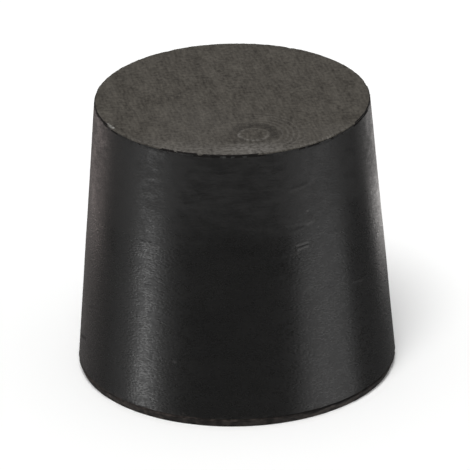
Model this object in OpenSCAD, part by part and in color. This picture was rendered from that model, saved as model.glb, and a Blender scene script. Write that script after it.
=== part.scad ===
// Solid tapered rubber stopper that stands on its large end.
// The origin is the centre of the large end face, and +Z points at the small end.

/* [Plug] */
// Diameter over the large end, at the top of its rim
large_d = 56; // [50:0.5:90]
// Diameter of the small end
small_d = 48; // [30:0.5:54]
// Length from end to end
body_len = 50; // [20:0.5:100]
// Radius of the edge around the small end
small_edge_r = 0.15; // [0.05:0.05:2]

/* [Rim of the large end] */
// Height of the trimmed rim
rim_h = 1.2; // [0.6:0.1:4]
// How far the rim draws in on its way down to the end face
rim_draw = 0.5; // [0.1:0.05:2]
// Height of the fine lip that stands between the rim and the parting groove
lip_h = 0.1; // [0.05:0.01:0.5]
// Radius of the fine parting groove above the lip
parting_r = 0.15; // [0.05:0.01:0.4]

/* [Pin mark on the small end] */
// Diameter of the round boss that a mould pin left
boss_d = 5.6; // [2:0.1:8]
// Width of the sunk ring around the boss
boss_ring_w = 1.2; // [0.4:0.1:2.5]
// Depth of the sunk ring
boss_ring_depth = 0.15; // [0.05:0.05:0.5]
// Distance from the small end's edge to the middle of the boss
boss_inset = 8.2; // [7:0.1:20]
// Direction of the boss, in degrees around the axis from +X
boss_turn = -77; // [-180:0.5:180]

/* [Number on the large end] */
// Height of a digit
digit_h = 8.4; // [4:0.1:10]
// Width of a digit
digit_w = 6.4; // [3:0.1:10]
// Width of a stroke
stroke_w = 1.2; // [0.6:0.1:1.6]
// Depth of the strokes
stroke_depth = 0.5; // [0.1:0.05:1.5]
// Distance between the middles of the two digits
digit_pitch = 19; // [10:0.5:24]
// Distance from the large end face's edge to the middle of the digits
digit_inset = 15; // [10:0.5:24]
// Diameter of the small pit between the digits
pit_d = 1.4; // [0.5:0.1:4]
// Depth of the pit
pit_depth = 0.3; // [0.1:0.05:1.5]
// How much nearer the axis the pit lies than the digits do
pit_drop = 3.5; // [0:0.5:8]

/* [Hidden] */
$fn = 96;
cut_over = 1;

large_r = large_d / 2;
small_r = small_d / 2;
foot_r = large_r - rim_draw;

// Slope of the wall, the groove's height over the rim, and the middle of the arc that rounds the small end.
// The wall ends a hair inside that arc, so that the two always meet.
wall_angle = atan((large_r - small_r) / (body_len - rim_h));
groove_up = lip_h + parting_r;
edge_x = small_r + small_edge_r * (tan(wall_angle) - 1 / cos(wall_angle));
edge_z = body_len - small_edge_r;
seam = 0.001;
wall_end = small_edge_r - seam;

// A digit is one path over the six corners of its figure, from 0 at the top left to 5 at the bottom right
number = round(small_d);
digits = [floor(number / 10) % 10, number % 10];
digit_paths = [
    [0, 1, 5, 4, 0],
    [1, 5],
    [0, 1, 3, 2, 4, 5],
    [0, 1, 3, 2, 3, 5, 4],
    [0, 2, 3, 1, 5],
    [1, 0, 2, 3, 5, 4],
    [1, 0, 4, 5, 3, 2],
    [0, 1, 5],
    [2, 3, 1, 0, 4, 5, 3],
    [3, 2, 0, 1, 5, 4]
];

function digit_corner(i) = [
    (i % 2 - 0.5) * (digit_w - stroke_w),
    (1 - floor(i / 2)) * (digit_h - stroke_w) / 2
];

// Half of the plug's section, from the axis outwards, with a circle that rounds the small end's edge
module section() {
    polygon([
        [0, 0],
        [foot_r, 0],
        [large_r, rim_h],
        [edge_x + wall_end * cos(wall_angle), edge_z + wall_end * sin(wall_angle)],
        [edge_x, edge_z],
        [edge_x, body_len],
        [0, body_len]
    ]);
    translate([edge_x, edge_z]) circle(r = small_edge_r);
}

module parting_groove() {
    translate([large_r - groove_up * tan(wall_angle), rim_h + groove_up]) circle(r = parting_r);
}

// One bar with round ends
module stroke(from, to) {
    run = to - from;
    translate(from) rotate(atan2(run[1], run[0])) {
        translate([0, -stroke_w / 2]) square([norm(run), stroke_w]);
        circle(d = stroke_w);
        translate([norm(run), 0]) circle(d = stroke_w);
    }
}

module digit(value) {
    path = digit_paths[value];
    for (i = [1:len(path) - 1])
        stroke(digit_corner(path[i - 1]), digit_corner(path[i]));
}

// The number and its pit read from below, with the tops of the digits towards the edge
module number_cut() {
    row = foot_r - digit_inset;
    mirror([1, 0, 0]) translate([0, 0, -cut_over]) {
        linear_extrude(cut_over + stroke_depth)
            for (i = [0, 1]) translate([(i - 0.5) * digit_pitch, row]) digit(digits[i]);
        translate([0, row - pit_drop, 0]) cylinder(d = pit_d, h = cut_over + pit_depth);
    }
}

// The boss stays level with the end face, in the middle of its sunk ring
module boss_cut() {
    rotate(boss_turn) translate([small_r - boss_inset, 0, body_len - boss_ring_depth])
        difference() {
            cylinder(d = boss_d + 2 * boss_ring_w, h = boss_ring_depth + cut_over);
            translate([0, 0, -cut_over])
                cylinder(d = boss_d, h = boss_ring_depth + 3 * cut_over);
        }
}

module stopper() {
    color([0.12, 0.12, 0.12])
        difference() {
            rotate_extrude() difference() {
                section();
                parting_groove();
            }
            number_cut();
            boss_cut();
        }
}

stopper();
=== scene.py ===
import math
import bpy
import numpy as np
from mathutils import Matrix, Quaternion, Vector, geometry, noise


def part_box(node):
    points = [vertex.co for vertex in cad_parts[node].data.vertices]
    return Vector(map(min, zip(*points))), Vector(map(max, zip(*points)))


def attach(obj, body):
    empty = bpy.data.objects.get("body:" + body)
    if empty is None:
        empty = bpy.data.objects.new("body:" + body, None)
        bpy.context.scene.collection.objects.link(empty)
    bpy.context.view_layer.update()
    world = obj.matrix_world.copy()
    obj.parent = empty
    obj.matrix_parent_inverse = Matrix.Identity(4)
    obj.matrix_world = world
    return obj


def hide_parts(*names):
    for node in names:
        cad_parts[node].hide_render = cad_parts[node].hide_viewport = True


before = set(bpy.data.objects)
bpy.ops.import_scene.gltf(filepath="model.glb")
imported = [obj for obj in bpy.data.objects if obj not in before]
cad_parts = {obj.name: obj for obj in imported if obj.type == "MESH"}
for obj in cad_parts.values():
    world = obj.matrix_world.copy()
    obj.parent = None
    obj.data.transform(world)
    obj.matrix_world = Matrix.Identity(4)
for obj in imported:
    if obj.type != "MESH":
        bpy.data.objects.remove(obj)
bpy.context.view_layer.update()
mm = 0.001
nodeLow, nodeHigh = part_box("stopper")
bodyLength = nodeHigh.z - nodeLow.z
largeRadius = nodeHigh.x
print("frame loaded")


def smoothStep(low, high, value):
    share = np.clip((value - low) / (high - low), 0, 1)
    return share * share * (3 - 2 * share)


def onCircle(radius, degrees, height=0.0):
    turn = math.radians(degrees)
    return Vector((radius * math.cos(turn), radius * math.sin(turn), height))


def turnBetween(first, second):
    # degrees from one side of the stopper round to another, from -180 to 180
    return (first - second + 180) % 360 - 180


stopper = {
    "smallRadius": 24 * mm,
    "edgeRadius": 0.15 * mm,
    "rimHeight": 1.2 * mm,
    "rimDraw": 0.5 * mm,
    "lipHeight": 0.1 * mm,
    "grooveRadius": 0.15 * mm,
    "columns": 720,          # faces round the side
    "rimRows": 6,            # rows of faces on the rim, in the groove and round the small end's edge
    "grooveRows": 8,
    "edgeRows": 5,
    "wallRow": 0.9 * mm,     # height of a row on the side
    "fineRow": 0.1 * mm,     # and of the finer rows, which reach this far down from the small end's edge
    "fineReach": 1.3 * mm,
    "endRings": ((0.14 * mm, 1), (0.38 * mm, 2), (0.8 * mm, 2)),   # inset in an end, columns for each vertex
    "endInset": 1.2 * mm,    # from an end's edge to the even spread of vertices inside it
    "endPitch": 0.5 * mm,    # spacing of that spread
    "finePitch": 0.14 * mm,  # and beside the strokes of the digits
}
bossMark = {
    "radius": 2.8 * mm,
    "ringWidth": 1.2 * mm,
    "depth": 0.15 * mm,
    "inset": 8.2 * mm,       # from the small end's edge to the boss's middle
    "turn": -77,
    "dish": 0.35,            # how far its middle is sunk, as a share of the ring's depth
    "circle": 7.5 * mm,      # radius of a faint larger circle round it
    "circleDepth": 0.12,     # as a share of the ring's depth
    "circleWidth": 0.22 * mm,
    "rings": (0.5, 1.0, 1.5, 2.0, 2.4, 2.65, 2.8, 2.95, 3.15, 3.45, 3.75, 4.05),   # of vertices, in mm
    "ringPoints": 72,
    "spreadFrom": 4.4 * mm,  # the even spread of vertices starts here
    "circleRings": (-0.2 * mm, 0, 0.2 * mm),   # rings of vertices along the circle
    "circlePoints": 120,
    "circleGap": 0.45 * mm,  # between the circle and the even spread
    "circleInset": 1.1 * mm,   # its rings stop this far from the small end's edge
}
digitMark = {
    "paths": ((0, 2, 3, 1, 5), (2, 3, 1, 0, 4, 5, 3)),   # a 4 and an 8 over six corners
    "height": 8.4 * mm,
    "width": 6.4 * mm,
    "stroke": 1.2 * mm,
    "depth": 0.5 * mm,
    "slope": (-0.34 * mm, -0.02 * mm),     # where a stroke's sides stand, from its edge
    "softDepth": 0.03 * mm,                # the face is sunk a little beside a stroke
    "softReach": 0.5 * mm,
    "pitch": 19 * mm,
    "inset": 15 * mm,                      # from the foot's edge to the digits' middle
    "pitRadius": 0.7 * mm,
    "pitDepth": 0.3 * mm,
    "pitDrop": 3.5 * mm,                   # from the digits' middle to the pit's
    "pitSlope": (-0.5 * mm, 0.1 * mm),
    "recessed": (-0.02 * mm, -0.1 * mm),   # the recess's finish starts here, in a stroke and in the pit
    "fineMiddle": -0.1 * mm,               # fine vertices lie round this line along a stroke's edge
    "fineReach": 0.55 * mm,
    "finePit": 0.3 * mm,
    "spreadFrom": (0.55 * mm, 0.4 * mm),   # distance of the even spread from the strokes and the pit
    "closest": 0.05 * mm,                  # least distance between fine vertices
}
wear = {
    "least": 0.01 * mm,      # the rim and the groove are sunk at least this far
    "slow": 0.03 * mm,       # gentle unevenness of the moulded side
    "slowLength": 14 * mm,
    "rimRough": 0.05 * mm,   # torn look of the trimmed rim
    "rimLength": 0.9 * mm,
    "rimChip": 0.5 * mm,     # small pieces torn out of the rim's upper edge
    "rimChipLength": 2.4 * mm,
    "rimChipFrom": 0.1,      # where the noise passes this
    "grooveDrift": 0.06 * mm,   # the groove wanders up and down by so much
    "driftLength": 9 * mm,
    "driftSpan": 0.5 * mm,
    "grooveLeft": 0.1,       # share of the groove's depth where it is closed
    "grooveClosed": -120,    # the side where most of it is closed
    "closedShares": (0.35, 0.9, 0.8),   # closed all round, by the noise, and more on that side
    "grooveLength": 5 * mm,
    "edgeReach": 1.2 * mm,   # wear of the small end's edge fades out this far down
    "edgeRough": 0.07 * mm,  # fine unevenness of that edge
    "edgeLength": 0.8 * mm,
    "undercut": 0.09 * mm,   # shallow line below the burr of that edge
    "undercutDrop": 0.34 * mm,
    "undercutWidth": 0.11 * mm,
    "undercutLength": 3.2 * mm,
    "undercutSide": -28,     # where the line is deepest
    "undercutShares": (0.15, 1.3, 1.8),   # its depth all round, more on that side, and at most
    "nickFall": 0.6,         # how far a nick pulls the edge down, as a share of its depth
    "shadedEdgeSides": (          # stretches of the small end's edge that take the groove's painted shade: degrees, reach in degrees, drop in mm
        (-10, 21, 0.13), (-92, 12, 0.16), (-109.5, 4.5, 0.15), (-118, 3, 0.24), (-177, 21, 0.26)),
    "shadeRagged": 0.25,     # unevenness of the ends of those stretches
    "dashDrop": 0.46 * mm,   # painted shade in short dark dashes between them, just below the edge
    "dashLength": 2.4 * mm,
    "dashFrom": 0.1,         # where the noise passes this
    "endHollow": 0.04 * mm,  # unevenness left by grinding the ends
    "endLength": 9 * mm,
    "endFade": (3 * mm, 0.3 * mm),   # it fades out between these distances from the edge
}
edgeNicks = (   # degrees round the small end, half width in mm, depth in mm
    (-152.0, 0.70, 0.20), (-137.0, 0.50, 0.15), (-120.5, 0.35, 0.22), (-117.0, 0.28, 0.26),
    (-114.6, 0.25, 0.20), (-111.5, 0.45, 0.30), (-108.5, 0.30, 0.18), (-104.5, 0.30, 0.24),
    (-100.0, 0.35, 0.18), (-94.0, 0.40, 0.24), (-62.0, 0.35, 0.15), (-54.0, 0.30, 0.22),
    (-47.0, 0.40, 0.18), (12.0, 0.60, 0.09), (64.0, 0.50, 0.07), (118.0, 0.60, 0.08), (171.0, 0.60, 0.09),
)

smallRadius = stopper["smallRadius"]
footRadius = largeRadius - stopper["rimDraw"]
taper = math.atan((largeRadius - smallRadius) / (bodyLength - stopper["rimHeight"]))
edgeMiddle = smallRadius + stopper["edgeRadius"] * (math.tan(taper) - 1 / math.cos(taper))


def wallRadius(height):
    return smallRadius + (bodyLength - height) * math.tan(taper)


def sectionLine():
    # (radius, height, zone) from the foot's edge up to the edge of the small end's face
    rimHeight, groove, edge = stopper["rimHeight"], stopper["grooveRadius"], stopper["edgeRadius"]
    rows = []
    for share in np.linspace(0, 1, stopper["rimRows"] + 1):
        rows.append((footRadius + share * stopper["rimDraw"], share * rimHeight, "rim"))
    grooveLow = rimHeight + stopper["lipHeight"]
    for turn in np.linspace(0, math.pi, stopper["grooveRows"] + 1):
        height = grooveLow + groove * (1 - math.cos(turn))
        rows.append((wallRadius(height) - groove * math.sin(turn), height, "groove"))
    low = grooveLow + 2 * groove
    high = bodyLength - edge * (1 - math.sin(taper))
    middle = high - stopper["fineReach"]
    coarse = np.linspace(low, middle, round((middle - low) / stopper["wallRow"]) + 1)
    fine = np.linspace(middle, high, round((high - middle) / stopper["fineRow"]) + 1)
    for height in np.concatenate([coarse[1:], fine[1:-1]]):
        rows.append((wallRadius(height), height, "wall"))
    for turn in np.linspace(taper, math.pi / 2, stopper["edgeRows"] + 1):
        rows.append((edgeMiddle + edge * math.cos(turn), bodyLength - edge * (1 - math.sin(turn)), "edge"))
    return rows


def fractal(place, length, shift=0.0):
    # smooth unevenness in three octaves, mostly between -1 and 1; the shift picks another pattern
    return noise.fractal(place / length + Vector((shift, shift, shift)), 0.8, 2.0, 3)


def rimChip(outwards):
    torn = fractal(outwards * largeRadius, wear["rimChipLength"], 21)
    return wear["rimChip"] * min(max(torn - wear["rimChipFrom"], 0), 1)


def rimSunk(place, outwards, height):
    share = height / stopper["rimHeight"]
    rough = 0.6 + fractal(place, wear["rimLength"], 7)
    sunk = max(wear["rimRough"] * rough * math.sin(math.pi * share), 0)
    return sunk + wear["least"] * share + rimChip(outwards) * share ** 3


def grooveLift(outwards, height):
    drift = wear["grooveDrift"] * fractal(outwards * largeRadius, wear["driftLength"], 3)
    return drift * math.sin(math.pi * (height - stopper["rimHeight"]) / wear["driftSpan"])


def grooveSunk(place, outwards, radius, height):
    # in closed stretches the groove is filled up to the wall, and the rim's chips reach into it
    everywhere, byNoise, bySide = wear["closedShares"]
    closed = smoothStep(0.55, 0.95, outwards.dot(onCircle(1, wear["grooveClosed"])))
    fill = everywhere + byNoise * fractal(outwards * largeRadius, wear["grooveLength"], 13) + bySide * closed
    deep = wallRadius(height) - radius
    sunk = wear["least"] + 0.4 * wear["rimRough"] * (1 + fractal(place, wear["rimLength"], 7))
    sunk += deep * (wear["grooveLeft"] - 1) * min(max(fill, 0), 1)
    above = (height - stopper["rimHeight"]) / (stopper["lipHeight"] + 2 * stopper["grooveRadius"])
    return sunk + rimChip(outwards) * max(1 - above, 0) ** 2


def edgeSunk(place, outwards, drop, nearEdge):
    # the uneven edge of the small end, and the shallow line below its burr
    everywhere, bySide, most = wear["undercutShares"]
    rough = nearEdge ** 2 * wear["edgeRough"] * (0.5 + fractal(place, wear["edgeLength"], 5))
    line = everywhere + fractal(outwards * smallRadius, wear["undercutLength"], 11)
    line += bySide * smoothStep(0.65, 0.95, outwards.dot(onCircle(1, wear["undercutSide"])))
    away = (drop - wear["undercutDrop"]) / wear["undercutWidth"]
    return rough + wear["undercut"] * min(max(line, 0), most) * math.exp(-away * away)


def nickSunk(degrees, nearEdge):
    sunk = 0
    for nickTurn, halfWidth, depth in edgeNicks:
        away = math.radians(turnBetween(degrees, nickTurn)) * smallRadius
        sunk += nearEdge ** 3 * depth * mm * math.exp(-(away / (halfWidth * mm)) ** 2)
    return sunk


def sideVertex(radius, height, zone, degrees):
    # a point of the side, sunk into the rubber by its unevenness and wear
    place = onCircle(radius, degrees, height)
    outwards = onCircle(1, degrees)
    sunk = max(wear["slow"] * (0.7 + fractal(place, wear["slowLength"])), 0)
    if zone == "rim":
        sunk = rimSunk(place, outwards, height)
    elif zone == "groove":
        place.z += grooveLift(outwards, height)
        sunk = grooveSunk(place, outwards, radius, height)
    drop = bodyLength - height
    nearEdge = 1 - min(drop / wear["edgeReach"], 1)
    if nearEdge > 0:
        nick = nickSunk(degrees, nearEdge)
        sunk += edgeSunk(place, outwards, drop, nearEdge) + nick
        place.z -= wear["nickFall"] * nick
    return place - outwards * sunk


def hexPoints(radius, pitch):
    # an even spread inside a circle
    reach = int(radius / pitch) + 2
    points = []
    for row in range(-reach, reach + 1):
        for column in range(-reach, reach + 1):
            point = ((column + 0.5 * (row % 2)) * pitch, row * pitch * math.sqrt(0.75))
            if math.hypot(*point) < radius:
                points.append(point)
    return np.array(points)


def ringPoints(middle, radius, count):
    turns = np.arange(count) * 2 * math.pi / count
    return np.array(middle) + radius * np.stack([np.cos(turns), np.sin(turns)], 1)


def bossMiddle():
    return np.array(onCircle(smallRadius - bossMark["inset"], bossMark["turn"])[:2])


def smallEndDrop(points):
    # the boss stands level with the face, dished in its middle, in a sunk ring inside one faint circle
    away = np.linalg.norm(points - bossMiddle(), axis=1)
    radius, width, depth = bossMark["radius"], bossMark["ringWidth"], bossMark["depth"]
    inner = smoothStep(radius - 0.1 * mm, radius + 0.15 * mm, away)
    outer = 1 - smoothStep(radius + 0.3 * mm, radius + width, away)
    dish = bossMark["dish"] * (1 - smoothStep(0.2 * mm, 1.5 * mm, away))
    fromCircle = (away - bossMark["circle"]) / bossMark["circleWidth"]
    return depth * (dish + inner * outer + bossMark["circleDepth"] * np.exp(-fromCircle ** 2))


def strokeLines():
    # the middle lines of the strokes, mirrored because the large end is seen from below
    row = footRadius - digitMark["inset"]
    halfWidth = (digitMark["width"] - digitMark["stroke"]) / 2
    halfHeight = (digitMark["height"] - digitMark["stroke"]) / 2
    lines = []
    for side, path in zip((-0.5, 0.5), digitMark["paths"]):
        corners = [(side * digitMark["pitch"] + (2 * (i % 2) - 1) * halfWidth,
                    row + (1 - i // 2) * halfHeight) for i in path]
        lines += list(zip(corners[:-1], corners[1:]))
    return [(np.array([-a[0], a[1]]), np.array([-b[0], b[1]])) for a, b in lines]


def strokeDistance(points):
    # distance outside the edge of the nearest stroke, negative within it
    best = np.full(len(points), 1.0)
    for start, end in strokeLines():
        along = end - start
        share = np.clip((points - start) @ along / (along @ along), 0, 1)
        away = np.linalg.norm(points - start - share[:, None] * along, axis=1)
        best = np.minimum(best, away)
    return best - digitMark["stroke"] / 2


def pitDistance(points):
    middle = (0, footRadius - digitMark["inset"] - digitMark["pitDrop"])
    return np.linalg.norm(points - np.array(middle), axis=1) - digitMark["pitRadius"]


def largeEndRise(points):
    away = strokeDistance(points)
    rise = digitMark["depth"] * (1 - smoothStep(*digitMark["slope"], away))
    rise += digitMark["softDepth"] * (1 - smoothStep(0, digitMark["softReach"], away))
    return rise + digitMark["pitDepth"] * (1 - smoothStep(*digitMark["pitSlope"], pitDistance(points)))


def snapToEdge(points, distance, levels, reach):
    # moves the points that lie near a level of a distance field onto it
    step = 0.01 * mm
    leastSlope = 0.2
    for level in levels:
        away = distance(points) - level
        near = np.abs(away) < reach
        slope = np.stack([(distance(points + [step, 0]) - distance(points - [step, 0])),
                          (distance(points + [0, step]) - distance(points - [0, step]))], 1) / (2 * step)
        steep = np.maximum(np.linalg.norm(slope, axis=1, keepdims=True), leastSlope)
        points = np.where(near[:, None], points - slope / steep ** 2 * away[:, None], points)
    return points


def spaced(points, gap):
    # drops points that lie closer together than the gap
    seen, kept = set(), []
    for point in points:
        cell = (round(point[0] / gap), round(point[1] / gap))
        if not any((cell[0] + i, cell[1] + j) in seen for i in (-1, 0, 1) for j in (-1, 0, 1)):
            kept.append(point)
            seen.add(cell)
    return np.array(kept)


def endFill(ring, inner):
    # joins the ring of edge vertices and the inner points with triangles
    coords = [Vector(point) for point in ring] + [Vector(point) for point in inner]
    loop = [(i, (i + 1) % len(ring)) for i in range(len(ring))]
    filled = geometry.delaunay_2d_cdt(coords, loop, [], 1, 1e-9)
    return filled[0], filled[2]


def grinding(points, reach, end):
    # shallow hollows, always into the rubber, that fade out at the edge
    inwards = 1 if end == "large" else -1
    fadeFrom, fadeTo = (reach - inset for inset in wear["endFade"])
    fade = 1 - smoothStep(fadeFrom, fadeTo, np.linalg.norm(points, axis=1))
    hollow = [0.5 + fractal(Vector((x, y, 0)), wear["endLength"], 2) for x, y in points]
    return inwards * wear["endHollow"] * fade * np.clip(hollow, 0, 2)


def endZones(middles, end):
    # the strokes and the pit have a finish of their own
    if end == "small":
        return [end] * len(middles)
    inStroke, inPit = digitMark["recessed"]
    sunk = (strokeDistance(middles) < inStroke) | (pitDistance(middles) < inPit)
    return ["recess" if inside else end for inside in sunk]


def smallEndPoints(reach):
    # rings round the boss and along the faint circle, and an even spread over the rest
    middle = bossMiddle()
    spread = hexPoints(reach - stopper["endInset"], stopper["endPitch"])
    away = np.linalg.norm(spread - middle, axis=1)
    clear = np.abs(away - bossMark["circle"]) > bossMark["circleGap"]
    spread = spread[(away > bossMark["spreadFrom"]) & clear]
    rings = [ringPoints(middle, radius * mm, bossMark["ringPoints"]) for radius in bossMark["rings"]]
    circle = np.concatenate([ringPoints(middle, bossMark["circle"] + shift, bossMark["circlePoints"])
                             for shift in bossMark["circleRings"]])
    circle = circle[np.linalg.norm(circle, axis=1) < reach - bossMark["circleInset"]]
    return rings + [circle, spread]


def largeEndPoints(reach):
    # close points along the strokes of the digits and round the pit, and an even spread over the rest
    fromStroke, fromPit = digitMark["spreadFrom"]
    spread = hexPoints(reach - stopper["endInset"], stopper["endPitch"])
    spread = spread[(strokeDistance(spread) > fromStroke) & (pitDistance(spread) > fromPit)]
    fine = hexPoints(reach - stopper["endInset"], stopper["finePitch"])
    nearStroke = np.abs(strokeDistance(fine) - digitMark["fineMiddle"]) < digitMark["fineReach"]
    fine = fine[nearStroke | (pitDistance(fine) < digitMark["finePit"])]
    fine = snapToEdge(fine, strokeDistance, digitMark["slope"], 0.5 * stopper["finePitch"])
    return [spaced(fine, digitMark["closest"]), spread]


def sideZone(height, zone, degrees):
    # painted shade: some stretches of the small end's edge and dashes below it take the shaded groove's
    # finish; the rest of the edge is ground
    if zone == "rim" or zone == "groove":
        return zone
    drop = bodyLength - height
    for turn, reach, lowest in wear["shadedEdgeSides"]:
        away = abs(turnBetween(degrees, turn)) / reach
        away += wear["shadeRagged"] * fractal(onCircle(smallRadius, degrees, height), wear["edgeLength"], 17)
        if away < 1 and drop < lowest * mm:
            return "groove"
    if zone == "edge":
        return "small"
    dash = fractal(onCircle(smallRadius, degrees, 0.5 * height), wear["dashLength"], 19)
    return "groove" if drop < wear["dashDrop"] and dash > wear["dashFrom"] else zone


def buildSide(rows, columns):
    vertices = [sideVertex(radius, height, zone, 360 * column / columns)
                for radius, height, zone in rows for column in range(columns)]
    faces, zones = [], []
    for row in range(len(rows) - 1):
        for column in range(columns):
            after = (column + 1) % columns
            faces.append((row * columns + column, row * columns + after,
                          (row + 1) * columns + after, (row + 1) * columns + column))
            zones.append(sideZone(rows[row + 1][1], rows[row + 1][2], 360 * (column + 0.5) / columns))
    return vertices, faces, zones


def addEnd(end, first, columns, vertices, faces, zones):
    # fills the ring of side vertices that starts at number first with the face of that end
    ring = [vertices[first + i].xy for i in range(columns)]
    reach = footRadius if end == "large" else edgeMiddle
    edge = np.array(ring)
    inner = [edge[::every] * (1 - inset / reach) for inset, every in stopper["endRings"]]
    inner += smallEndPoints(reach) if end == "small" else largeEndPoints(reach)
    filled, triangles = endFill(ring, np.concatenate(inner))
    flat = np.array(filled)
    level = grinding(flat, reach, end)
    level += largeEndRise(flat) if end == "large" else bodyLength - smallEndDrop(flat)
    offset = len(vertices)
    for index in range(columns, len(flat)):
        vertices.append(Vector((flat[index][0], flat[index][1], level[index])))
    for triangle in triangles:
        corners = [first + i if i < columns else offset + i - columns for i in triangle]
        faces.append(tuple(reversed(corners)) if end == "large" else tuple(corners))
    zones += endZones(flat[np.array(triangles)].mean(1), end)


def buildStopper():
    rows, columns = sectionLine(), stopper["columns"]
    vertices, faces, zones = buildSide(rows, columns)
    addEnd("large", 0, columns, vertices, faces, zones)
    addEnd("small", (len(rows) - 1) * columns, columns, vertices, faces, zones)
    return vertices, faces, zones


def feed(tree, value, socket):
    # a socket is linked, and a plain value is set
    if isinstance(value, bpy.types.NodeSocket):
        tree.links.new(value, socket)
    else:
        socket.default_value = value


def addNode(tree, kind, inputs=None, **settings):
    node = tree.nodes.new("ShaderNode" + kind)
    for name, value in settings.items():
        setattr(node, name, value)
    for name, value in (inputs or {}).items():
        feed(tree, value, node.inputs[name])
    return node


def mathNode(tree, operation, first, second=0.5, third=0.5):
    return addNode(tree, "Math", {0: first, 1: second, 2: third}, operation=operation).outputs[0]


def multiply(tree, first, second):
    return mathNode(tree, "MULTIPLY", first, second)


def vectorMath(tree, operation, first, second=(0, 0, 0)):
    # gives a number for a length, a distance or a dot product, and a vector for the rest
    node = addNode(tree, "VectorMath", {0: first, 1: second}, operation=operation)
    return node.outputs["Value" if operation in ("LENGTH", "DISTANCE", "DOT_PRODUCT") else "Vector"]


def scaleVector(tree, vector, scale):
    return addNode(tree, "VectorMath", {0: vector, "Scale": scale}, operation="SCALE").outputs[0]


def clampNode(tree, value):
    return addNode(tree, "Clamp", {0: value}).outputs[0]


def ramp(tree, value, fromLow, fromHigh, toLow=0.0, toHigh=1.0):
    return addNode(tree, "MapRange", {0: value, 1: fromLow, 2: fromHigh, 3: toLow, 4: toHigh},
                   interpolation_type="SMOOTHSTEP").outputs[0]


def band(tree, value, low, lowFull, highFull, high):
    # one between the two middle values, fading to nothing at the outer two
    rising = ramp(tree, value, low, lowFull)
    return multiply(tree, rising, ramp(tree, value, highFull, high, 1, 0))


def swing(tree, noiseValue, reach, value):
    # moves a value up and down with a noise, by half the reach each way
    return mathNode(tree, "MULTIPLY_ADD", mathNode(tree, "SUBTRACT", noiseValue, 0.5), reach, value)


def startGroup(name, inputs, output):
    tree = bpy.data.node_groups.new(name, "ShaderNodeTree")
    for label, value in inputs.items():
        kind = "NodeSocketVector" if isinstance(value, tuple) else "NodeSocketFloat"
        socket = tree.interface.new_socket(label, in_out="INPUT", socket_type=kind)
        socket.default_value = value
    tree.interface.new_socket(output, in_out="OUTPUT", socket_type="NodeSocketFloat")
    return tree, tree.nodes.new("NodeGroupInput").outputs, tree.nodes.new("NodeGroupOutput").inputs[output]


def makeDrawnOutNoise():
    # noise that can be drawn out along one direction: grain, ground streaks, haze
    tree, inputs, value = startGroup("drawnOutNoise", {
        "Place": (0, 0, 0), "Turn": (0, 0, 0), "Fineness": (1, 1, 1), "Detail": 2, "Contrast": 1}, "Value")
    turned = addNode(tree, "VectorRotate", {"Vector": inputs["Place"], "Rotation": inputs["Turn"]},
                     rotation_type="EULER_XYZ").outputs[0]
    scaled = vectorMath(tree, "MULTIPLY", turned, inputs["Fineness"])
    cloud = addNode(tree, "TexNoise", {"Vector": scaled, "Scale": 1, "Detail": inputs["Detail"]}).outputs[0]
    feed(tree, clampNode(tree, swing(tree, cloud, inputs["Contrast"], 0.5)), value)
    return tree


def makeSparseSpecks():
    # round specks in some of the cells of a pattern: dust on the surface, pores in it
    tree, inputs, mask = startGroup("sparseSpecks", {
        "Place": (0, 0, 0), "Spacing": 2, "Size": 0.1, "Share": 0.2}, "Mask")
    perSpacing = mathNode(tree, "DIVIDE", 1, inputs["Spacing"])
    cells = addNode(tree, "TexVoronoi", {"Vector": inputs["Place"], "Scale": perSpacing})
    size = multiply(tree, inputs["Size"], perSpacing)
    near = ramp(tree, cells.outputs["Distance"], 0, size, 1, 0)
    chance = addNode(tree, "SeparateColor", {0: cells.outputs["Color"]}).outputs[0]
    feed(tree, multiply(tree, near, mathNode(tree, "LESS_THAN", chance, inputs["Share"])), mask)
    return tree


def makeSoftPatch():
    # an oval region that fades out: worn, wiped or dirty places
    tree, inputs, mask = startGroup("softPatch", {
        "Place": (0, 0, 0), "Middle": (0, 0, 0), "Reach": (1, 1, 1), "Core": 0.2}, "Mask")
    offset = vectorMath(tree, "SUBTRACT", inputs["Place"], inputs["Middle"])
    away = vectorMath(tree, "LENGTH", vectorMath(tree, "DIVIDE", offset, inputs["Reach"]))
    feed(tree, ramp(tree, away, inputs["Core"], 1, 1, 0), mask)
    return tree


def makeThinMark():
    # a thin line between two points: scratches and slivers
    tree, inputs, mask = startGroup("thinMark", {
        "Place": (0, 0, 0), "Start": (0, 0, 0), "End": (1, 0, 0), "Width": 0.1}, "Mask")
    run = vectorMath(tree, "SUBTRACT", inputs["End"], inputs["Start"])
    offset = vectorMath(tree, "SUBTRACT", inputs["Place"], inputs["Start"])
    along = vectorMath(tree, "DOT_PRODUCT", offset, run)
    whole = vectorMath(tree, "DOT_PRODUCT", run, run)
    share = clampNode(tree, mathNode(tree, "DIVIDE", along, whole))
    away = vectorMath(tree, "DISTANCE", offset, scaleVector(tree, run, share))
    feed(tree, ramp(tree, away, 0, inputs["Width"], 1, 0), mask)
    return tree


drawnOutNoise = makeDrawnOutNoise()
sparseSpecks = makeSparseSpecks()
softPatch = makeSoftPatch()
thinMark = makeThinMark()


def placeGroup(tree, group, place, **inputs):
    return addNode(tree, "Group", {"Place": place, **inputs}, node_tree=group).outputs[0]


def blend(tree, share, first, second):
    mix = addNode(tree, "Mix", {0: share}, data_type="RGBA")
    feed(tree, first, mix.inputs[6])
    feed(tree, second, mix.inputs[7])
    return mix.outputs[2]


def addBump(tree, height, depth, below=None):
    bump = addNode(tree, "Bump", {"Height": height, "Distance": depth, "Strength": 1})
    if below is not None:
        feed(tree, below, bump.inputs["Normal"])
    return bump.outputs[0]


faceHeight = bodyLength / mm   # of the small end, in the millimetres that the materials work in


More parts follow.
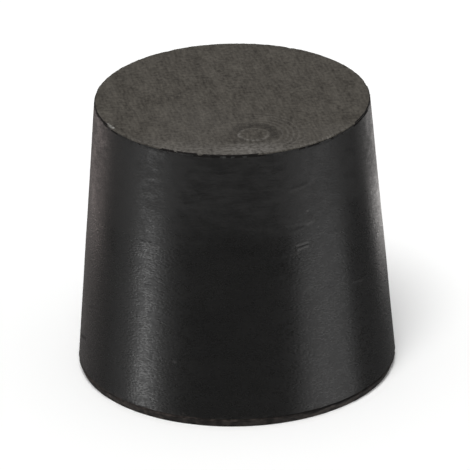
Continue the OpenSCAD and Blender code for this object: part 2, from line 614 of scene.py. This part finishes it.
def startMaterial(name, specular):
    # places are in millimetres, in the stopper's own frame
    material = bpy.data.materials.new(name)
    material.use_nodes = True
    tree = material.node_tree
    shader = tree.nodes["Principled BSDF"]
    shader.inputs["Specular IOR Level"].default_value = specular
    place = scaleVector(tree, addNode(tree, "TexCoord").outputs["Object"], 1000)
    return material, tree, shader.inputs, place


def heightOf(tree, place):
    return addNode(tree, "SeparateXYZ", {0: place}).outputs[2]


def fromAxis(tree, place):
    # distance from the stopper's axis
    return vectorMath(tree, "LENGTH", vectorMath(tree, "MULTIPLY", place, (1, 1, 0)))


mouldedLook = {
    "black": (0.0065, 0.0063, 0.0061, 1),
    "bloom": (0.0090, 0.0087, 0.0083, 1),
    "haze": (0.0130, 0.0125, 0.0120, 1),     # slightly greyer upper part
    "dust": (0.10, 0.098, 0.094, 1),
    "dirtAndShade": (0.004, 0.004, 0.004, 1),        # painted shade in the line below the small end's edge burr, and in the dents
    # pale scratches, and painted highlights on the lit edges of dents
    "scratchedAndLit": (0.085, 0.083, 0.080, 1),
    "dustShare": 0.5,
    "hazeHeights": (32, 46),                 # the haze sets in between these heights, in mm,
    "hazeDrift": 6,                          # which the patches lower by up to so much
    "hazeLines": (0.6, 1.05),                # its strength off and on the moulded lines, and the mottles
    "hazeMottle": (0.6, 1.25),
    "shadeLine": (0.10, 0.16, 0.30, 0.5),     # painted shade below the small end's face, in mm
    "shadeDrift": 0.25,
    "shadeDashes": (0.4, 0.75, 0, 0.9),       # noise at which a dash sets in and is full, and its strengths
    "shadedSideShare": 0.4,
    "footDirt": (0.030, 0.0245, 0.0215, 1),  # rubbed up from the trimmed rim
    "footDirtTop": (1.4, 1.9),               # fades out between these heights, in mm
    "footDirtDrift": -1.2,
    "footDirtShare": 0.5,
    "footDirtInFront": 0.25,
    "roughness": (0.22, 0.39),
    "hazeRoughness": 0.19,
    "mottledRoughness": 0.10,
    "dirtAndShadeRoughness": 0.5,
    "specular": 0.5,
    "lineDepth": 0.008 * mm,
    "grainDepth": 0.0245 * mm,
    "hazedMottle": 0.3,                      # what the haze leaves of the mottling, the lines and the grain
    "hazedLines": 0.6,
    "hazedGrain": 0.15,
    "grainTurn": (math.radians(20), 0, 0),
}
scratchesAndGlints = (   # pale scratches, and painted highlights on the lit edges of dents: degrees and height of both ends, half width in mm, share of the scratched and lit colour
    (-65.2, 32.25, -60.6, 32.45, 0.17, 0.46), (-64.8, 31.45, -60.4, 31.75, 0.17, 0.42),
    (-66.5, 42.3, -55.8, 43.1, 0.30, 0.10), (-69.5, 36.1, -60.2, 35.9, 0.22, 0.10),
    (-60.2, 35.7, -57.0, 36.0, 0.22, 0.22), (-68.0, 34.6, -61.0, 35.2, 0.18, 0.08),
    (-71.0, 30.6, -64.5, 30.9, 0.20, 0.08), (-59.9, 38.1, -59.5, 38.1, 0.16, 0.38),
    (-129.0, 31.75, -121.0, 31.85, 0.22, 0.24), (-164.0, 13.9, -154.0, 15.1, 0.20, 0.07),
    (-173.5, 5.6, -165.5, 6.9, 0.25, 0.16), (-113.8, 11.4, -113.2, 11.4, 0.22, 0.28),
    (-62.0, 24.1, -60.0, 24.0, 0.20, 0.16), (-86.0, 36.4, -76.0, 36.0, 0.18, 0.04),
    (-40.0, 22.0, -33.0, 21.4, 0.18, 0.16), (25.0, 34.0, 33.0, 35.2, 0.18, 0.16),
    (88.0, 12.0, 97.0, 12.4, 0.2, 0.14), (-126.6, 49.05, -123.4, 48.9, 0.26, 0.22),
    (-121.8, 48.95, -119.6, 49.0, 0.22, 0.16),
)
dentShade = (   # the same, for painted shade: dark lines in dents
    (-130.0, 32.35, -127.4, 32.3, 0.15, 0.35), (-125.6, 32.4, -124.6, 32.4, 0.15, 0.4),
    (-66.5, 42.85, -59.5, 43.2, 0.24, 0.35), (-68.5, 35.3, -62.0, 35.45, 0.20, 0.35),
    (-64.8, 31.95, -60.4, 32.1, 0.12, 0.8), (-174.0, 6.2, -165.0, 7.5, 0.28, 0.75),
    (-163.0, 14.2, -153.5, 15.6, 0.18, 0.40), (-72.5, 27.0, -71.5, 27.0, 0.20, 0.5),
    (150.0, 20.0, 158.0, 20.9, 0.2, 0.5),
)
sidePatches = {   # turn in degrees, distance from the axis, height, reach in mm, core
    # where the painted shade below the small end's edge runs all along
    "shadedSide": (wear["undercutSide"], 27, faceHeight, (27, 27, 5), 0.6),
    "shadedFront": (-88, 28, 1, (17, 17, 5), 0.35),   # painted light: the very front of the foot is darker, its sides paler as if catching the lamps' sheen
    "closedSide": (wear["grooveClosed"], 29, 1, (27, 27, 4), 0.5),
}


def sidePatch(tree, place, name):
    turn, radius, height, reach, core = sidePatches[name]
    return placeGroup(tree, softPatch, place, Middle=onCircle(radius, turn, height), Reach=reach, Core=core)


def lineMarks(tree, place, marks):
    total = 0.0
    for startTurn, startHeight, endTurn, endHeight, halfWidth, share in marks:
        start = onCircle(wallRadius(startHeight * mm) / mm, startTurn, startHeight)
        end = onCircle(wallRadius(endHeight * mm) / mm, endTurn, endHeight)
        mark = placeGroup(tree, thinMark, place, Start=start, End=end, Width=2 * halfWidth)
        total = mathNode(tree, "MULTIPLY_ADD", mark, share, total)
    return clampNode(tree, total)


def upperHaze(tree, height, patches, lines, mottle):
    # the greyer, rougher upper part, broken up by the moulded lines and the mottling
    look = mouldedLook
    hazeLevel = mathNode(tree, "MULTIPLY_ADD", patches, look["hazeDrift"], height)
    haze = ramp(tree, hazeLevel, *look["hazeHeights"])
    haze = multiply(tree, haze, ramp(tree, lines, 0, 1, *look["hazeLines"]))
    return multiply(tree, haze, ramp(tree, mottle, 0, 1, *look["hazeMottle"]))


def edgeShade(tree, place, height, dashes):
    # painted shade in the line below the small end's edge burr, in dashes, and all along on one side
    look = mouldedLook
    drop = mathNode(tree, "SUBTRACT", faceHeight, height)
    line = band(tree, swing(tree, dashes, look["shadeDrift"], drop), *look["shadeLine"])
    side = multiply(tree, sidePatch(tree, place, "shadedSide"), look["shadedSideShare"])
    dirtAndShade = mathNode(tree, "ADD", ramp(tree, dashes, *look["shadeDashes"]), side)
    return multiply(tree, line, clampNode(tree, dirtAndShade))


def footDirt(tree, place, height, dashes, mottle):
    # rubbed up from the trimmed rim with a ragged top, and less of it at the very front, which is painted
    # darker than the sides that catch the lamps' sheen
    look = mouldedLook
    ragged = swing(tree, dashes, look["footDirtDrift"], height)
    dirtAndShade = ramp(tree, ragged, *look["footDirtTop"], look["footDirtShare"], 0)
    dirtAndShade = multiply(tree, dirtAndShade, ramp(tree, mottle, 0.25, 0.65))
    # less of the rubbed colour at the very front, painted darker than the sheen-lit sides
    front = sidePatch(tree, place, "shadedFront")
    return multiply(tree, dirtAndShade, ramp(tree, front, 0, 1, 1, look["footDirtInFront"]))


def mouldedRubber():
    look = mouldedLook
    material, tree, surface, place = startMaterial("mouldedRubber", look["specular"])
    height = heightOf(tree, place)
    patches = placeGroup(tree, drawnOutNoise, place, Fineness=(0.11, 0.11, 0.16), Contrast=2.2)
    turn = look["grainTurn"]
    lines = placeGroup(tree, drawnOutNoise, place, Turn=turn, Fineness=(0.22, 0.22, 3.2), Contrast=2.4)
    grain = placeGroup(tree, drawnOutNoise, place, Turn=turn, Fineness=(1.9, 1.9, 4.0), Contrast=1.3,
                       Detail=0.5)
    mottle = placeGroup(tree, drawnOutNoise, place, Fineness=(0.4, 0.4, 0.7), Contrast=2.0, Detail=1.5)
    dashes = placeGroup(tree, drawnOutNoise, place, Fineness=(0.9, 0.9, 0.9), Contrast=3, Detail=3)
    dust = placeGroup(tree, sparseSpecks, place, Spacing=2.4, Size=0.16, Share=0.3)

    haze = upperHaze(tree, height, patches, lines, mottle)
    # painted shade in the dents and in the line below the small end's edge
    dirtAndShade = mathNode(tree, "MAXIMUM", lineMarks(tree, place, dentShade), edgeShade(tree, place, height, dashes))
    rubbed = footDirt(tree, place, height, dashes, mottle)
    colour = blend(tree, patches, look["black"], look["bloom"])
    colour = blend(tree, haze, colour, look["haze"])
    colour = blend(tree, multiply(tree, dust, look["dustShare"]), colour, look["dust"])
    # pale scratches, and painted highlights on the lit edges of dents
    colour = blend(tree, lineMarks(tree, place, scratchesAndGlints), colour, look["scratchedAndLit"])
    colour = blend(tree, dirtAndShade, colour, look["dirtAndShade"])
    feed(tree, blend(tree, rubbed, colour, look["footDirt"]), surface["Base Color"])

    roughness = ramp(tree, grain, 0, 1, *look["roughness"])
    roughness = mathNode(tree, "MULTIPLY_ADD", haze, look["hazeRoughness"], roughness)
    mottled = multiply(tree, mathNode(tree, "SUBTRACT", mottle, 0.5),
                       ramp(tree, haze, 0, 1, 1, look["hazedMottle"]))
    roughness = mathNode(tree, "MULTIPLY_ADD", mottled, look["mottledRoughness"], roughness)
    dirtyAndShaded = mathNode(tree, "MAXIMUM", dirtAndShade, rubbed)
    feed(tree, mathNode(tree, "MULTIPLY_ADD", dirtyAndShaded, look["dirtAndShadeRoughness"], roughness), surface["Roughness"])
    drawn = multiply(tree, lines, ramp(tree, haze, 0, 1, 1, look["hazedLines"]))
    relief = multiply(tree, grain, ramp(tree, haze, 0, 1, 1, look["hazedGrain"]))
    normal = addBump(tree, drawn, look["lineDepth"])
    feed(tree, addBump(tree, relief, look["grainDepth"], normal), surface["Normal"])
    return material


groundLook = {
    "dark": (0.0195, 0.0163, 0.0124, 1),
    "pale": (0.088, 0.0800, 0.0672, 1),
    "wornAndLit": (0.17, 0.160, 0.150, 1),        # painted highlight along the front of the small end's edge and on the boss, with real rubbing in two places further in
    "torn": (0.42, 0.42, 0.40, 1),          # painted highlight on a sliver of that edge
    "pore": (0.0120, 0.0100, 0.0078, 1),
    "stainAndShade": (0.019, 0.0165, 0.0135, 1),    # dirt and painted shade round the boss, and a dark smudge
    "poreShare": 0.6,
    "roughness": (0.70, 0.92),
    "specular": 0.25,
    "patches": 0.44,                        # shares of the patches, streaks and grain in the colour
    "streaks": 0.38,
    "grain": 0.60,
    "streakDepth": 0.03 * mm,
    "grainDepth": 0.045 * mm,
}
bossLook = {   # distances from the boss's middle, in mm
    "line": (2.1, 2.5, 2.6, 3.0),           # painted highlight along the boss's edge, strongest on its lit side
    "halo": (2.7, 3.1, 3.6, 5.6),           # dirt and painted shade in and around the sunk ring
    "haloFrom": (0.45, 0.89, 0),            # the side where it lies thickest
    "ripples": (4.2, 5.0, 8.0, 9.5),        # painted light and shade of faint rings round the boss
    "ripplesFrom": (0.95, 0.3, 0),
    "rippleLength": 0.95,
    "rippleShare": 0.13,
}
endPatches = {   # x, y, reach in mm, core
    "smudge": (-9.5, 1.5, (3.0, 2.6, 3), 0.2),
    "front": (-3, -24, (24, 13, 5), 0.25),
    "beforeBoss": (3.2, -21.3, (6.5, 3.2, 3), 0.3),
    "edgeFront": (2, -22, (25, 19, 5), 0.6),
    "leftRubbed": (-6, -11, (12, 12, 5), 0.2),
    "rightRubbed": (17, -15, (6, 6, 5), 0.2),
}
endWearAndLight = {   # distances from the axis, in mm, and shares of the worn and painted-highlight colour
    "front": (16.5, 23.5, 0, 0.55),
    "beforeBoss": 0.42,
    "frontGrain": (0.15, 0.85, 0.2, 0.7),
    "leftRubbed": 0.07,
    "rightRubbed": 0.08,
    "edge": (23.1, 23.7),
    "edgeStreaks": (0.2, 0.8, 0.1, 0.42),
    "rounded": (23.75, 23.95, 1, 0.1),   # what is left of it where the edge turns down
    "sliver": (23.75, -155.2, 23.6, -150.2, 0.36),   # radius and degrees of both ends, width
}


def bossMarks(tree, place, grain):
    # masks for the painted highlight, and for the dirt and painted shade, round the boss
    look = bossLook
    offset = vectorMath(tree, "SUBTRACT", place, (*(bossMiddle() / mm), faceHeight))
    away = vectorMath(tree, "LENGTH", offset)
    towards = vectorMath(tree, "NORMALIZE", offset)
    haloSide = vectorMath(tree, "DOT_PRODUCT", towards, look["haloFrom"])
    rippleSide = vectorMath(tree, "DOT_PRODUCT", towards, look["ripplesFrom"])
    halo = band(tree, away, *look["halo"])
    halo = multiply(tree, halo, ramp(tree, haloSide, -0.9, 0.7, 0.15, 0.9))
    halo = multiply(tree, halo, ramp(tree, grain, 0.1, 0.9, 1, 0.55))
    line = band(tree, away, *look["line"])
    line = multiply(tree, line, ramp(tree, haloSide, -0.6, 0.9, 0.5, 0.1))
    line = multiply(tree, line, ramp(tree, grain, 0.1, 0.8, 0.1, 0.9))
    wave = mathNode(tree, "SINE", multiply(tree, away, 2 * math.pi / look["rippleLength"]))
    wave = multiply(tree, wave, band(tree, away, *look["ripples"]))
    wave = multiply(tree, wave, ramp(tree, rippleSide, -0.2, 0.8, 0, look["rippleShare"]))
    pale = mathNode(tree, "MAXIMUM", line, wave)
    dark = mathNode(tree, "MAXIMUM", halo, multiply(tree, wave, -1))
    return pale, dark


def endPatch(tree, place, name):
    x, y, reach, core = endPatches[name]
    return placeGroup(tree, softPatch, place, Middle=(x, y, faceHeight), Reach=reach, Core=core)


def frontHighlightAndWear(tree, place, away, grain):
    # painted highlight near the front of the edge and before the boss, and real rubbing a little in two
    # places further in
    front = multiply(tree, endPatch(tree, place, "front"), ramp(tree, away, *endWearAndLight["front"]))
    beforeBoss = endPatch(tree, place, "beforeBoss")
    front = mathNode(tree, "MULTIPLY_ADD", beforeBoss, endWearAndLight["beforeBoss"], front)
    front = multiply(tree, front, ramp(tree, grain, *endWearAndLight["frontGrain"]))
    for name in ("leftRubbed", "rightRubbed"):
        front = mathNode(tree, "MULTIPLY_ADD", endPatch(tree, place, name), endWearAndLight[name], front)
    return front


def edgeHighlight(tree, place, away, streaks):
    # painted highlight along the front of the small end's edge
    edge = multiply(tree, ramp(tree, away, *endWearAndLight["edge"]), ramp(tree, streaks, *endWearAndLight["edgeStreaks"]))
    return multiply(tree, edge, endPatch(tree, place, "edgeFront"))


def sliverHighlight(tree, place, grain):
    startRadius, startTurn, endRadius, endTurn, width = endWearAndLight["sliver"]
    start = onCircle(startRadius, startTurn, faceHeight)
    end = onCircle(endRadius, endTurn, faceHeight)
    sliver = placeGroup(tree, thinMark, place, Start=start, End=end, Width=width)
    return multiply(tree, sliver, ramp(tree, grain, 0.2, 0.7, 0.2, 0.6))


def smallEndMarks(tree, place, streaks, grain, colour):
    # painted highlight and shade round the boss, a dark smudge, the painted highlight on the front and edge
    # with a little rubbing, and a painted highlight on a sliver torn from the edge
    look = groundLook
    away = fromAxis(tree, place)
    pale, dark = bossMarks(tree, place, grain)
    smudge = endPatch(tree, place, "smudge")
    smudge = multiply(tree, smudge, ramp(tree, grain, 0.2, 0.8, 0.6, 0.05))
    # dirt and painted shade round the boss, and a dark smudge
    colour = blend(tree, mathNode(tree, "MAXIMUM", dark, smudge), colour, look["stainAndShade"])
    edge = edgeHighlight(tree, place, away, streaks)
    wornAndLit = mathNode(tree, "MAXIMUM", edge, frontHighlightAndWear(tree, place, away, grain))
    wornAndLit = mathNode(tree, "ADD", wornAndLit, pale)
    wornAndLit = multiply(tree, wornAndLit, ramp(tree, away, *endWearAndLight["rounded"]))
    colour = blend(tree, wornAndLit, colour, look["wornAndLit"])
    # painted highlight on a sliver torn from the edge
    return blend(tree, sliverHighlight(tree, place, grain), colour, look["torn"])


def groundRubber(name, degrees, addMarks=None):
    look = groundLook
    material, tree, surface, place = startMaterial(name, look["specular"])
    turn = (0, 0, math.radians(-degrees))
    patches = placeGroup(tree, drawnOutNoise, place, Turn=turn, Fineness=(0.2, 0.42, 0.3), Contrast=2.0)
    streaks = placeGroup(tree, drawnOutNoise, place, Turn=turn, Fineness=(0.45, 2.6, 1), Contrast=2.4)
    grain = placeGroup(tree, drawnOutNoise, place, Fineness=(1.5, 1.5, 1.5), Contrast=2.4)
    pores = placeGroup(tree, sparseSpecks, place, Spacing=1.6, Size=0.2, Share=0.25)

    mixed = multiply(tree, patches, look["patches"])
    mixed = mathNode(tree, "MULTIPLY_ADD", streaks, look["streaks"], mixed)
    mixed = mathNode(tree, "MULTIPLY_ADD", grain, look["grain"], mixed)
    mixed = mathNode(tree, "SUBTRACT", mixed, (look["patches"] + look["streaks"] + look["grain"]) / 2 - 0.5)
    colour = blend(tree, mixed, look["dark"], look["pale"])
    colour = blend(tree, multiply(tree, pores, look["poreShare"]), colour, look["pore"])
    if addMarks:
        colour = addMarks(tree, place, streaks, grain, colour)
    feed(tree, colour, surface["Base Color"])
    feed(tree, ramp(tree, grain, 0, 1, *look["roughness"]), surface["Roughness"])
    normal = addBump(tree, streaks, look["streakDepth"])
    feed(tree, addBump(tree, grain, look["grainDepth"], normal), surface["Normal"])
    return material


trimmedLook = {
    "dark": (0.012, 0.0102, 0.0093, 1),
    "pale": (0.066, 0.053, 0.046, 1),
    "shaded": (0.0080, 0.0070, 0.0065, 1),  # along the foot and up into the groove
    "drift": 1.1,                           # unevenness of the shades, in mm
    "foot": (0.0, 0.35),                    # heights in mm between which each shade fades
    "groove": (0.95, 1.45),
    "closed": 0.4,                          # what is left of the groove's shade where it is closed
    "front": 0.5,                           # painted shade of the very front, darker than the sides that catch the lamps' sheen
    "roughness": (0.5, 0.75),
    "grainDepth": 0.04 * mm,
}


def trimmedRubber(name, specular):
    look = trimmedLook
    material, tree, surface, place = startMaterial(name, specular)
    grain = placeGroup(tree, drawnOutNoise, place, Fineness=(1.0, 1.0, 2.2), Contrast=2.6)
    ragged = placeGroup(tree, drawnOutNoise, place, Fineness=(0.5, 0.5, 0.5), Contrast=2.2, Detail=3)
    mixed = multiply(tree, grain, ramp(tree, ragged, 0.25, 0.75, 0.35, 1.45))
    colour = blend(tree, mixed, look["dark"], look["pale"])
    uneven = swing(tree, ragged, look["drift"], heightOf(tree, place))
    closed = ramp(tree, sidePatch(tree, place, "closedSide"), 0, 0.8, 1, look["closed"])
    shaded = multiply(tree, ramp(tree, uneven, *look["groove"]), closed)
    shaded = mathNode(tree, "MAXIMUM", ramp(tree, uneven, *look["foot"], 1, 0), shaded)
    # painted shade at the very front of the foot
    front = multiply(tree, sidePatch(tree, place, "shadedFront"), look["front"])
    shaded = mathNode(tree, "MAXIMUM", front, shaded)
    feed(tree, blend(tree, shaded, colour, look["shaded"]), surface["Base Color"])
    feed(tree, ramp(tree, grain, 0, 1, *look["roughness"]), surface["Roughness"])
    feed(tree, addBump(tree, grain, look["grainDepth"]), surface["Normal"])
    return material


recessLook = {
    "black": (0.008, 0.008, 0.008, 1),
    "pale": (0.02, 0.019, 0.018, 1),
    "roughness": (0.16, 0.3),
    "specular": 0.5,
}


def recessRubber():
    look = recessLook
    material, tree, surface, place = startMaterial("recessRubber", look["specular"])
    grain = placeGroup(tree, drawnOutNoise, place, Fineness=(1.6, 1.6, 1.6), Contrast=2)
    feed(tree, blend(tree, grain, look["black"], look["pale"]), surface["Base Color"])
    feed(tree, ramp(tree, grain, 0, 1, *look["roughness"]), surface["Roughness"])
    return material


materials = {   # zone of the mesh: its material
    "wall": mouldedRubber(),
    "small": groundRubber("groundSmallEnd", -80, smallEndMarks),
    "large": groundRubber("groundLargeEnd", 0),
    "rim": trimmedRubber("trimmedRim", 0.35),
    # painted shade, dark in the groove, along the foot and below the small end's edge
    "groove": trimmedRubber("shadedGroove", 0.12),
    "recess": recessRubber(),
}
print("materials made")

vertices, faces, zones = buildStopper()
mesh = bpy.data.meshes.new("rubber_stopper")
mesh.from_pydata([tuple(v) for v in vertices], [], faces)
for material in materials.values():
    mesh.materials.append(material)
numbers = {zone: number for number, zone in enumerate(materials)}
mesh.polygons.foreach_set("material_index", [numbers[zone] for zone in zones])
mesh.shade_smooth()
mesh.set_sharp_from_angle(angle=math.radians(25))
rubberStopper = bpy.data.objects.new("rubber_stopper", mesh)
bpy.context.scene.collection.objects.link(rubberStopper)
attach(rubberStopper, "root")
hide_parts("stopper")
print("stopper mesh:", len(mesh.vertices), "vertices,", sum(len(face) - 2 for face in faces), "triangles")

studio = {
    "floorColour": (0.96, 0.96, 0.955, 1),
    "floorRoughness": 0.9,
    "floorRadius": 30.0,
    "floorCorners": 64,
    "sky": (0.11, 0.55),     # brightness at the horizon and below it, and overhead
    "fade": (0.1, 0.5),      # between these heights on the sky
    "seen": 1.0,             # brightness that the camera sees behind the floor
    "sun": 2.1,
    "sunTurn": -15,          # from the front, and height in degrees
    "sunHeight": 66,
    "sunAngle": 26,
}
panels = {   # degrees round from the front, distance, height, width, length, brightness, colour
    "leftPanel": (-69, 0.45, -0.165, 0.125, 0.18, 2.55, (1, 1, 1)),
    "leftGlow": (-73, 0.46, -0.13, 0.50, 0.22, 0.19, (1, 1, 1)),
    "rightPanel": (68, 0.45, -0.13, 0.36, 0.22, 0.75, (1, 1, 1)),
    "rightLow": (67, 0.45, -0.27, 0.15, 0.12, 1.7, (1, 0.96, 0.97)),
    "leftBack": (-137, 0.45, -0.10, 0.48, 0.22, 0.082, (1, 0.87, 0.84)),
    "leftEdge": (-130, 0.15, 0.005, 0.075, 0.055, 0.68, (1, 0.84, 0.80)),
    "rightEdge": (156, 0.15, -0.002, 0.15, 0.07, 0.88, (1, 0.96, 0.94)),
}


def makeFloor():
    count = studio["floorCorners"]
    corners = [tuple(onCircle(studio["floorRadius"], 360 * i / count)) for i in range(count)]
    floorMesh = bpy.data.meshes.new("floor")
    floorMesh.from_pydata(corners, [], [tuple(range(count))])
    material = bpy.data.materials.new("paleFloor")
    material.use_nodes = True
    surface = material.node_tree.nodes["Principled BSDF"].inputs
    surface["Base Color"].default_value = studio["floorColour"]
    surface["Roughness"].default_value = studio["floorRoughness"]
    surface["Specular IOR Level"].default_value = 0
    floorMesh.materials.append(material)
    floor = bpy.data.objects.new("floor", floorMesh)
    bpy.context.scene.collection.objects.link(floor)
    floor.visible_glossy = False   # the side mirrors the dark studio round it, and not the pale floor
    floor.visible_shadow = False


def makeSky():
    world = bpy.data.worlds.new("studioSky")
    world.use_nodes = True
    bpy.context.scene.world = world
    tree = world.node_tree
    direction = addNode(tree, "TexCoord").outputs["Generated"]
    light = ramp(tree, heightOf(tree, direction), *studio["fade"], *studio["sky"])
    seen = addNode(tree, "LightPath").outputs["Is Camera Ray"]
    choice = addNode(tree, "Mix", {0: seen, 2: light, 3: studio["seen"]}).outputs[0]
    background = tree.nodes["Background"].inputs
    feed(tree, choice, background["Strength"])
    background["Color"].default_value = (1, 1, 1, 1)


def makeSun():
    sun = bpy.data.lights.new("topLight", "SUN")
    sun.energy = studio["sun"]
    sun.angle = math.radians(studio["sunAngle"])
    light = bpy.data.objects.new("topLight", sun)
    light.rotation_mode = "QUATERNION"
    rise = math.radians(studio["sunHeight"])
    towards = onCircle(math.cos(rise), studio["sunTurn"] - 90, math.sin(rise))
    light.rotation_quaternion = (-towards).to_track_quat("-Z", "Y")
    bpy.context.scene.collection.objects.link(light)


def makePanel(name, turn, distance, height, width, length, brightness, colour):
    lamp = bpy.data.lights.new(name, "AREA")
    lamp.shape = "RECTANGLE"
    lamp.size, lamp.size_y = width, length
    lamp.energy = 4 * brightness * width * length
    lamp.color = colour
    panel = bpy.data.objects.new(name, lamp)
    panel.location = onCircle(distance, turn - 90, height)
    panel.rotation_mode = "QUATERNION"
    panel.rotation_quaternion = (Vector((0, 0, bodyLength / 2)) - panel.location).to_track_quat("-Z", "Y")
    panel.visible_camera = False
    panel.visible_diffuse = False   # it only shows in the sheen of the side
    bpy.context.scene.collection.objects.link(panel)


makeFloor()
makeSky()
makeSun()
for name, values in panels.items():
    makePanel(name, *values)
print("studio made")

view = {
    "elevation": math.radians(25.15),
    "distance": 1.103,
    "aimSide": 0.035 * mm,
    "aimHeight": 0.4742,      # as a share of the stopper's
    "frameWidth": 0.08247,    # what the frame shows at that distance
    "roll": math.radians(-1.1),
}
camera = bpy.data.objects.new("camera", bpy.data.cameras.new("camera"))
aim = Vector((view["aimSide"], 0, view["aimHeight"] * bodyLength))
back = Vector((0, -math.cos(view["elevation"]), math.sin(view["elevation"])))
camera.location = aim + back * view["distance"]
camera.rotation_mode = "QUATERNION"
camera.rotation_quaternion = (-back).to_track_quat("-Z", "Y") @ Quaternion((0, 0, 1), view["roll"])
camera.data.lens = camera.data.sensor_width * view["distance"] / view["frameWidth"]
bpy.context.scene.collection.objects.link(camera)
bpy.context.scene.camera = camera
bpy.context.scene.view_settings.view_transform = "Standard"
print("camera placed")
